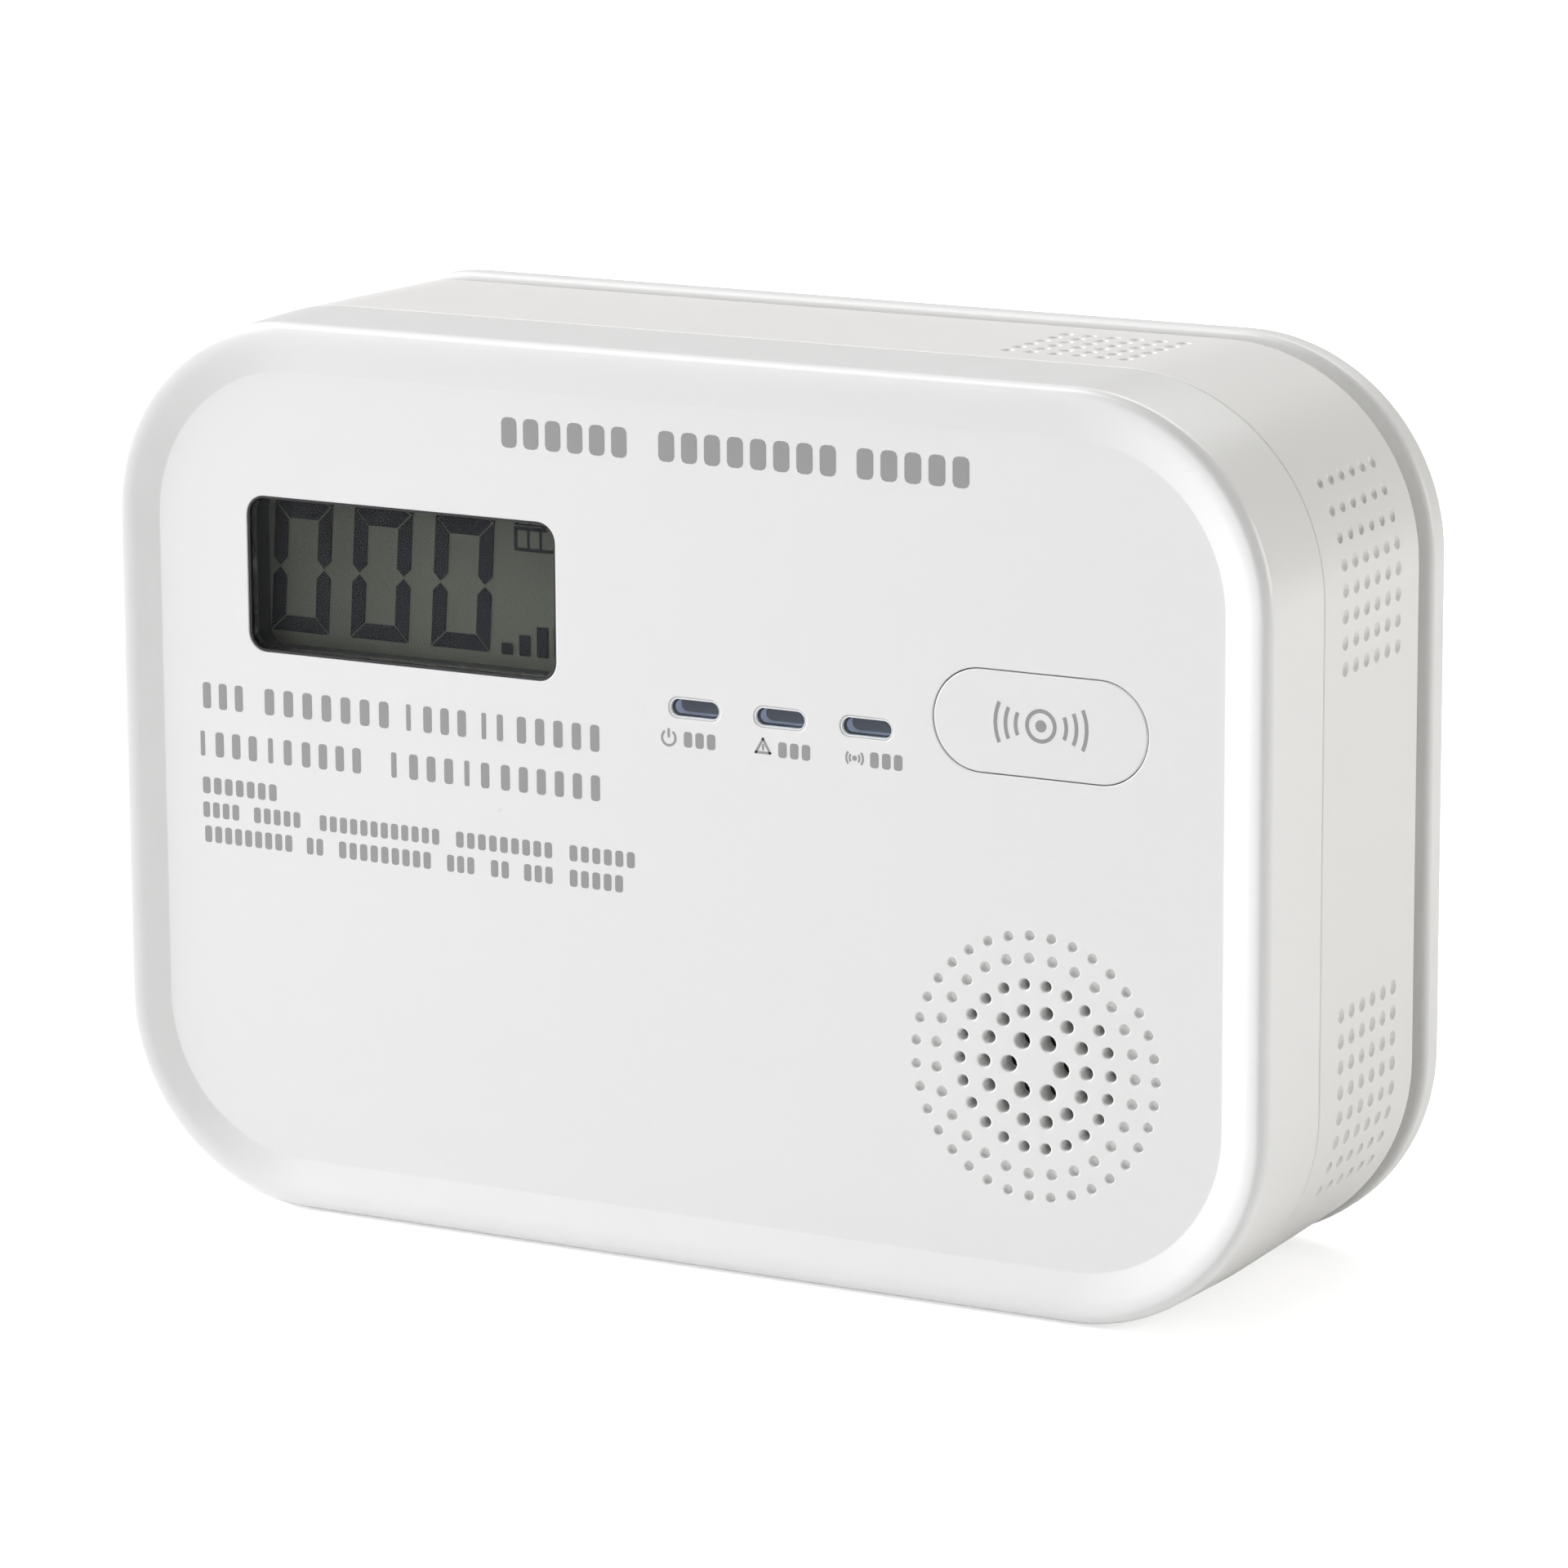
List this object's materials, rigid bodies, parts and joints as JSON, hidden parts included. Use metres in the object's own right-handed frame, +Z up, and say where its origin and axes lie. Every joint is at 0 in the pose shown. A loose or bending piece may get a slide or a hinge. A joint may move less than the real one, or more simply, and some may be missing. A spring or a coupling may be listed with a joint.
{
  "type": "carbon monoxide detector",
  "caption": "Free-standing or wall-mounted battery carbon monoxide detector: rounded white two-part case with display, lights, test button, sounder grille and a pull-off wall plate.",
  "frame": {"origin": "middle of the base, under the middle of the case's depth", "axes": "+X to the right as seen from the front, +Y from the face towards the wall, +Z up"},
  "size_m": [0.12, 0.0378, 0.085],
  "materials": {
    "front_white": "smooth gloss off-white moulded ABS",
    "side_white": "satin off-white moulded ABS",
    "plate_white": "satin off-white moulded ABS",
    "button_white": "smooth gloss off-white moulded ABS",
    "clear_plastic": "clear polished acrylic",
    "display_black": "black moulded plastic",
    "display_glass": "dark green-grey display glass",
    "display_white": "white reflector sheet",
    "strip_rubber": "pink silicone with carbon layers",
    "led_package": "moulded surface-mount package",
    "board_green": "green solder-masked glass-epoxy board",
    "switch_black": "black moulded nylon",
    "sounder_black": "black moulded ABS",
    "disc_brass": "brass disc with a ceramic face",
    "screen_mesh": "black nylon mesh",
    "can_steel": "drawn steel can",
    "filter_dark": "black filter cap",
    "chip_black": "black epoxy package",
    "capacitor_sleeve": "shrink sleeve over an aluminium can",
    "inductor_ferrite": "ferrite drum with a copper winding",
    "screw_steel": "zinc-plated steel",
    "contact_nickel": "nickel-plated spring steel",
    "cell_jacket": "printed film jacket over a steel can"
  },
  "bodies": {
    "housing": {"front_cover": "front_white", "rear_cover": "side_white", "display_window": "clear_plastic", "display_frame": "display_black", "display_glass": "display_glass", "display_reflector": "display_white", "connector_strip": "strip_rubber", "light_pipe_power": "clear_plastic", "light_pipe_fault": "clear_plastic", "light_pipe_alarm": "clear_plastic", "led_power": "led_package", "led_fault": "led_package", "led_alarm": "led_package", "circuit_board": "board_green", "switch_body": "switch_black", "sounder_housing": "sounder_black", "sounder_disc": "disc_brass", "grille_screen": "screen_mesh", "sensor_can": "can_steel", "sensor_filter": "filter_dark", "microcontroller": "chip_black", "driver_chip": "chip_black", "capacitor": "capacitor_sleeve", "inductor": "inductor_ferrite", "board_screws": "screw_steel", "case_screws": "screw_steel", "contact_plate_1": "contact_nickel", "contact_plate_2": "contact_nickel", "contact_plate_3": "contact_nickel", "contact_spring_1": "contact_nickel", "contact_spring_2": "contact_nickel", "contact_spring_3": "contact_nickel", "battery_cell_1": "cell_jacket", "battery_cell_2": "cell_jacket", "battery_cell_3": "cell_jacket"},
    "button": {"test_button": "button_white"},
    "plunger": {"switch_plunger": "switch_black"},
    "door": {"battery_door": "side_white"},
    "plate": {"wall_plate": "plate_white"}
  },
  "joints": [
    {"name": "test_button_press", "type": "slide", "parent": "housing", "child": "button", "axis": [0, 1, 0], "range_m": [0, 0.0008], "stiffness_N_per_m": 600, "springref_m": -0.0015},
    {"name": "switch_plunger_press", "type": "slide", "parent": "housing", "child": "plunger", "axis": [0, 1, 0], "range_m": [0, 0.0008]},
    {"name": "battery_door_hinge", "type": "hinge", "parent": "housing", "child": "door", "pos_m": [0, 0.0138, 0.0179], "axis": [-1, 0, 0], "range_deg": [0, 90]},
    {"name": "wall_plate_pull", "type": "slide", "parent": "housing", "child": "plate", "axis": [0, 1, 0], "range_m": [0, 0.02]}
  ],
  "couplings": [
    {"joint": "switch_plunger_press", "follows": "test_button_press", "ratio": 1}
  ]
}
